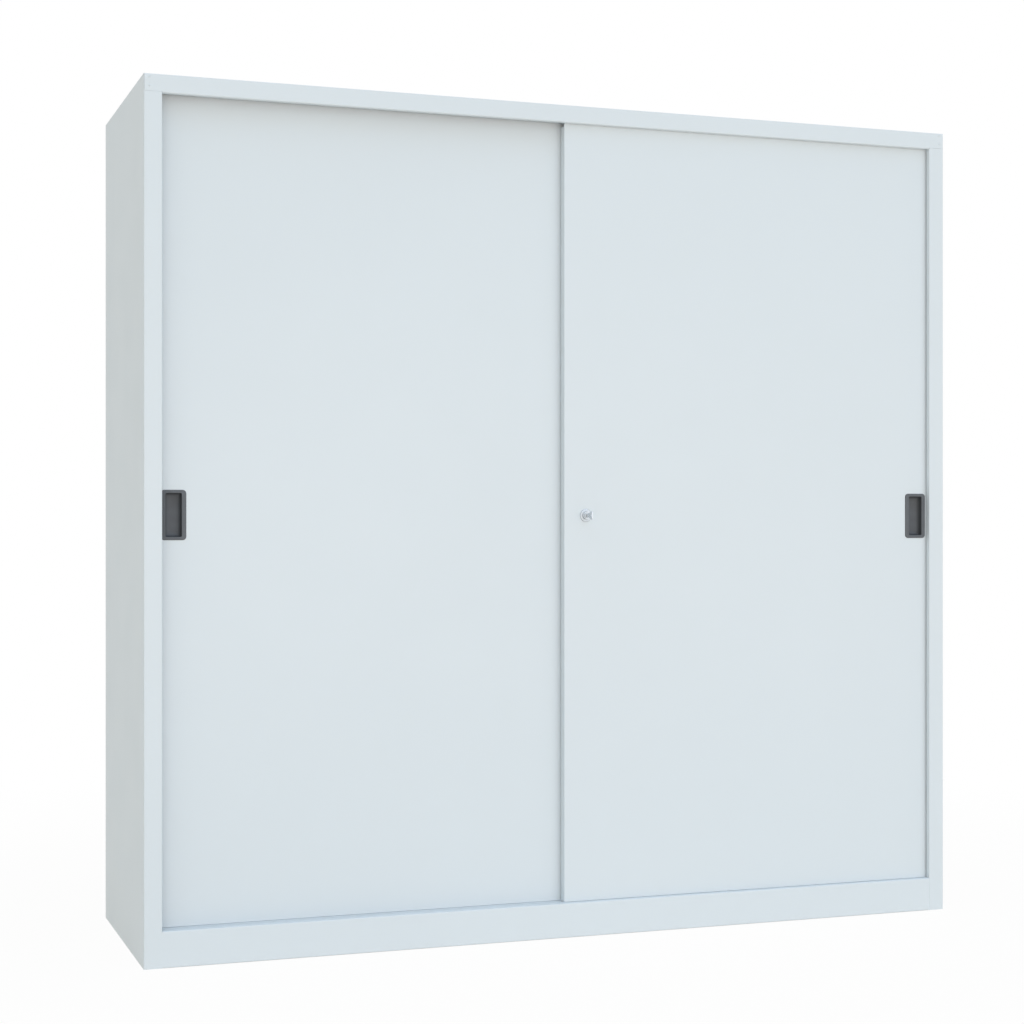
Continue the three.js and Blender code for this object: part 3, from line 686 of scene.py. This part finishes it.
def build_barrel(place, material):
    """The pushed barrel and its plunger, turned in one piece, open in front for the plug."""
    floor = BARREL["rear"] - BARREL["wall"]
    corners = [
        [0, floor],
        [BARREL["bore"], floor],
        [BARREL["bore"], BARREL["front"]],
        [BARREL["radius"], BARREL["front"]],
        [BARREL["radius"], BARREL["rear"]],
        [PLUNGER["radius"], BARREL["rear"]],
        [PLUNGER["radius"], PLUNGER["tip"]],
        [0, PLUNGER["tip"]],
    ]
    barrel = shell(revolved(filleted(corners, BARREL["rounds"])))
    add_piece("lock_barrel", [barrel], place, material, "lock_cylinder", ["lock_cylinder"])


def build_plug(place, material):
    """The plug: a turned disc and body, with a keyway that its rings run into from the front."""
    slot = (KEYWAY["width"] / 2, KEYWAY["height"] / 2, KEYWAY["corner"])
    keyway = rectangle_rings(rectangle_rows(slot, 0, [KEYWAY["floor"], PLUG["front"]]))
    radius, front, rear = PLUG["radius"], PLUG["front"], PLUG["rear"]
    body = filleted([[PLUG["flat"], front], [radius, front], [radius, rear], [0, rear]], PLUG["rounds"])
    rings = np.concatenate([keyway, revolved(body, keyway.shape[1])])
    add_piece("lock_core", [shell(rings)], place, material, "lock_plug", ["lock_plug"])


def key_blade_rings():
    """The two faces of the key's neck and bitted blade: one outline in Y and Z, at both sides."""
    face, tip, neck, blade = KEY["face"], KEY["tip"], KEY["neck_height"] / 2, KEY["blade_height"] / 2
    shoulder = face - KEY["seat"]
    start = face - KEY["bow_start"] - KEY["neck_in_bow"]
    shank = tip - KEY["point"]
    end = (blade - KEY["point"]) / 2
    bite = BITE["half_length"]
    bites = [
        [face + share * (tip - face) + offset, blade - drop]
        for share in BITE_SHARES[::-1]
        for offset, drop in ((bite, 0), (0, BITE["depth"]), (-bite, 0))
    ]
    below = [[start, -neck], [shoulder, -neck], [shoulder, -blade], [shank, -blade], [tip, -end]]
    above = [[tip, end], [shank, blade], *bites, [shoulder, blade], [shoulder, neck]]
    y, z = np.array([[start, neck], *below, *above]).T
    sides = np.array([[-1], [1]]) * KEY["blade_thickness"] / 2
    return np.stack(np.broadcast_arrays(sides, y, z), axis=-1)


def key_bow_rings():
    """The key's bow as rings round its hole, front face to back face and through the hole again.
    The outer ring's distance from the hole's middle is read off the bow's outline at even turns."""
    inner = KEY["face"] - KEY["bow_start"]
    outer = inner - KEY["bow"]
    neck, bow = KEY["neck_height"] / 2, KEY["bow_height"] / 2
    outline = closed_outline([[outer, -bow], [inner, -neck], [inner, neck], [outer, bow]], KEY["bow_rounds"])
    closed = np.concatenate([outline, outline[:1]])
    run = np.concatenate([[0], np.cumsum(np.linalg.norm(np.diff(closed, axis=0), axis=1))])
    along = np.linspace(0, run[-1], OUTLINE_SAMPLES)
    middle = outer + KEY["hole_inset"]
    y, z = np.interp(along, run, closed[:, 0]) - middle, np.interp(along, run, closed[:, 1])
    turn = np.linspace(0, 2 * np.pi, ROUND_SIDES, endpoint=False)
    reach = np.interp(turn, np.arctan2(z, y), np.hypot(y, z), period=2 * np.pi)
    hole = np.full_like(turn, KEY["hole"])
    radii = np.stack([hole, reach, reach, hole])
    sides = np.array([[-1], [-1], [1], [1]]) * KEY["thickness"] / 2
    rings = [np.broadcast_to(sides, radii.shape), middle + radii * np.cos(turn), radii * np.sin(turn)]
    return np.stack(rings, axis=-1)


def build_key(place, material):
    """The key, as it stands in the plug."""
    shells = [shell(key_blade_rings()), shell(key_bow_rings(), looped=True)]
    key = add_piece("bitted_key", shells, place, material, "lock_key", ["lock_key"])
    break_edges(key, KEY["edge"])


def wheel_outline():
    """Half the section of a roller's grooved wheel, in radius and depth."""
    half, hub, outer = WHEEL["half"], WHEEL["hub"], WHEEL["radius"]
    groove, mouth, floor = WHEEL["groove"], WHEEL["mouth"], WHEEL["floor"]
    rear = [[hub, -half], [outer, -half], [outer, -mouth], [groove, -floor]]
    front = [[radius, -depth] for radius, depth in rear[::-1]]
    return closed_outline([*rear, *front], WHEEL["rounds"])


def bearing_outline():
    """Half the section of a roller's ball bearing: two races with a sunk shield between them."""
    bore, outer, half, race = BEARING["bore"], BEARING["outer"], BEARING["half"], BEARING["race"]
    shield = half - BEARING["shield"]
    rear = [
        [bore, -half],
        [bore + race, -half],
        [bore + race, -shield],
        [outer - race, -shield],
        [outer - race, -half],
        [outer, -half],
    ]
    front = [[radius, -depth] for radius, depth in rear[::-1]]
    corners = [*rear, *front]
    return closed_outline(corners, [BEARING["edge"]] * len(corners))


def build_roller(node, finishes):
    """A grooved nylon wheel about its ball bearing, in the place of its CAD node."""
    low, high = box_mm(node)
    place = (low + high) / 2
    wheel = shell(revolved(wheel_outline()), looped=True)
    bearing = shell(revolved(bearing_outline()), looped=True)
    add_piece(f"{node}_wheel", [wheel], place, finishes["nylon"], node, [node])
    steel = "galvanised_steel"
    add_piece(f"{node}_bearing", [bearing], place, finishes[steel], node)


def build_rivets(material):
    """Blind rivets at both ends of the fascia, as low domes of radius R sin t and height h cos t,
    each about a round pit."""
    low, high = box_mm("top_panel")
    turn = np.linspace(math.asin(RIVET["pit"] / RIVET["radius"]), np.pi / 2, ARC_STEPS)
    dome = np.stack([RIVET["radius"] * np.sin(turn), -RIVET["height"] * np.cos(turn)], axis=-1)
    pit_floor = dome[0, 1] + RIVET["pit_depth"]
    profile = np.concatenate([[[0, pit_floor], [RIVET["pit"], pit_floor]], dome])
    rivet = shell(revolved(profile, SMALL_SIDES))
    reach = box_mm("right_side_panel")[1][0] - RIVET["inset"]
    places = [[side * reach, low[1], high[2] - drop] for side in (-1, 1) for drop in RIVET["drops"]]
    shells = [moved(rivet, place) for place in places]
    add_piece("fascia_rivets", shells, ORIGIN, material, "cabinet")


def screw_shells():
    """A flanged hexagon screw about its axis, from a hanger's rear face: flange, head and shank."""
    flange, height, head = SCREW["flange"], SCREW["flange_height"], SCREW["head"]
    disc = filleted([[0, 0], [flange, 0], [flange, height], [0, height]], SCREW["flange_rounds"])
    corner = SCREW["across"] / math.sqrt(3)
    inwards, down = SCREW["chamfer"]
    seat = height / 2
    hexagon = [[0, seat], [corner, seat], [corner, head - down], [corner - inwards, head], [0, head]]
    shank, depth = SCREW["shank"], SCREW["depth"]
    stem = [[0, -depth], [shank, -depth], [shank, seat], [0, seat]]
    profiles = ((disc, FLANGE_SIDES), (hexagon, HEXAGON_SIDES), (stem, SMALL_SIDES))
    return [shell(revolved(profile, sides)) for profile, sides in profiles]


def build_screws(door, material):
    """Flanged hexagon screws that hold a door's hangers to its top rail."""
    shells = []
    for end in ("left", "right"):
        low, high = box_mm(f"{door}_{end}_hanger")
        for offset in (-SCREW["spacing"] / 2, SCREW["spacing"] / 2):
            place = [(low[0] + high[0]) / 2 + offset, high[1], low[2] + SCREW["height"]]
            shells += [moved(screw_shell, place) for screw_shell in screw_shells()]
    add_piece(f"{door}_hanger_screws", shells, ORIGIN, material, door)


def build_foot_welds(material):
    """Ground welds that fill the seams between the kick plate and the posts: a rounded outline in X
    and Y, carried straight up. The right one is sunk deeper, and shows as a faint line."""
    low, high = box_mm("base_panel")
    inner, outer, depth = FOOT_WELD["inner"], FOOT_WELD["inner"] + FOOT_WELD["width"], FOOT_WELD["depth"]
    corners = [[inner, 0], [outer, 0], [outer, depth], [inner, depth]]
    x, y = closed_outline(corners, [FOOT_WELD["corner"]] * len(corners)).T
    heights = np.array([low[2], high[2] - FOOT_WELD["drop"]])[:, None]
    shells = [
        shell(np.stack(np.broadcast_arrays(side * x, low[1] + sunk + y, heights), axis=-1))
        for side, sunk in zip((-1, 1), FOOT_WELD["sunk"])
    ]
    add_piece("foot_welds", shells, ORIGIN, material, "cabinet")


def ray_share(tree):
    """One for what the camera, a mirror or glass sees, and nothing for the light on the object."""
    path = new_node(tree, "ShaderNodeLightPath").outputs
    mirrored = combined(tree, "MAXIMUM", path["Is Camera Ray"], path["Is Glossy Ray"])
    return combined(tree, "MAXIMUM", mirrored, path["Is Transmission Ray"])


def end_in_white(tree, ending, share, lit, white):
    """Ends a tree in the mix of two shaders: the white one by its share, and else the lit one."""
    mixed = new_node(tree, "ShaderNodeMixShader", {"Fac": share, 1: lit, 2: white})
    new_node(tree, ending, {"Surface": mixed.outputs["Shader"]})


def floor_material():
    """A pale matt floor that the camera sees as white. Near the cabinet a small share of it stays
    matt and shows the soft shadow, and under the cabinet, within its foot's half sizes, all of it."""
    material = bpy.data.materials.new("studio floor")
    tree = emptied_tree(material)
    place = new_node(tree, "ShaderNodeTexCoord").outputs["Object"]
    away = new_node(tree, "ShaderNodeVectorMath", {0: place}, operation="LENGTH").outputs["Value"]
    fade = spread(tree, away, FLOOR["white_share"], 1.0, FLOOR["near"], FLOOR["far"])
    seen = combined(tree, "MULTIPLY", fade, ray_share(tree))
    past_foot = past_sides(tree, place, (*FLOOR["under"], 1.0), "XY")
    share = combined(tree, "MULTIPLY", seen, combined(tree, "GREATER_THAN", past_foot, 0.0))
    matt = new_node(tree, "ShaderNodeBsdfDiffuse", {"Color": (*FLOOR["colour"], 1.0)}).outputs["BSDF"]
    white = new_node(tree, "ShaderNodeEmission", {"Color": WHITE, "Strength": 1.0}).outputs["Emission"]
    end_in_white(tree, "ShaderNodeOutputMaterial", share, matt, white)
    return material


def build_floor():
    """The floor, one flat square about the cabinet."""
    half = FLOOR["half_size"]
    corners = [(-half, -half, 0), (half, -half, 0), (half, half, 0), (-half, half, 0)]
    mesh = bpy.data.meshes.new("floor")
    mesh.from_pydata(corners, [], [(0, 1, 2, 3)])
    mesh.materials.append(floor_material())
    floor = bpy.data.objects.new("floor", mesh)
    bpy.context.scene.collection.objects.link(floor)


def build_surroundings():
    """A plain studio: even light from all round, which is white where it is seen."""
    world = bpy.data.worlds.new("studio")
    bpy.context.scene.world = world
    tree = emptied_tree(world)
    lit, white = [
        new_node(tree, "ShaderNodeBackground", {"Color": colour, "Strength": 1.0}).outputs["Background"]
        for colour in ((*AROUND_COLOUR, 1.0), WHITE)
    ]
    end_in_white(tree, "ShaderNodeOutputWorld", ray_share(tree), lit, white)


def new_holder(name, held, place=ORIGIN, down=0, turn=0):
    """An object that holds a lamp or a camera. It looks along Y, and is then tilted down and turned
    about Z by two angles in degrees."""
    holder = bpy.data.objects.new(name, held)
    holder.location = place
    holder.rotation_euler = (math.radians(90 - down), 0, math.radians(turn))
    bpy.context.scene.collection.objects.link(holder)
    return holder


def build_lamps():
    """Two broad cool lamps, one low from the right and one from above, both from in front, and a
    wide warm softbox that stands upright in front, just above the floor."""
    for name, values in LAMPS.items():
        lamp = bpy.data.lights.new(name, "SUN")
        lamp.energy = values["strength"]
        lamp.color = values["colour"]
        lamp.angle = math.radians(values["softness"])
        new_holder(name, lamp, down=values["height"], turn=values["side"])
    lamp = bpy.data.lights.new("softbox", "AREA")
    lamp.shape = "RECTANGLE"
    lamp.size, lamp.size_y = SOFTBOX["size"]
    lamp.energy = SOFTBOX["power"]
    lamp.color = SOFTBOX["colour"]
    softbox = new_holder("softbox", lamp, SOFTBOX["place"])
    softbox.visible_camera = False


def build_camera():
    """The camera at the photographed viewpoint."""
    camera = bpy.data.cameras.new("camera")
    camera.lens = CAMERA_LENS
    camera.shift_y = CAMERA_SHIFT
    bpy.context.scene.camera = new_holder("camera", camera, CAMERA_PLACE, turn=CAMERA_TURN)


def dress_nodes(finishes):
    """Gives each CAD piece the finish of its slot in the record."""
    for row in frame["record"]["subparts"]:
        for material_slot in frame["nodes"][row["node"]].material_slots:
            material_slot.material = finishes[row["material_slot"]]


def main():
    bpy.context.scene.view_settings.view_transform = "Standard"
    lock_place = middle_mm("lock_cylinder", -BARREL["front"])
    pull_depth = PULL["flange"] + PULL["ridge"]
    pull_places = {door: middle_mm(f"{door}_pull", pull_depth) for door in ("left_door", "right_door")}
    finishes = build_finishes(lock_place * MM, {door: place * MM for door, place in pull_places.items()})
    dress_nodes(finishes)
    for door, place in pull_places.items():
        build_pull(door, place, finishes[f"{door}_pull"])
        build_screws(door, finishes["galvanised_steel"])
        for end in ("left", "right"):
            build_roller(f"{door}_{end}_roller", finishes)
    build_rosette(lock_place, finishes["lock_plating"])
    build_barrel(lock_place, finishes["lock_plating"])
    build_plug(lock_place, finishes["lock_plating"])
    build_key(lock_place, finishes["key_plating"])
    build_rivets(finishes["enamel"])
    build_foot_welds(finishes["enamel"])
    build_floor()
    build_surroundings()
    build_lamps()
    build_camera()


main()
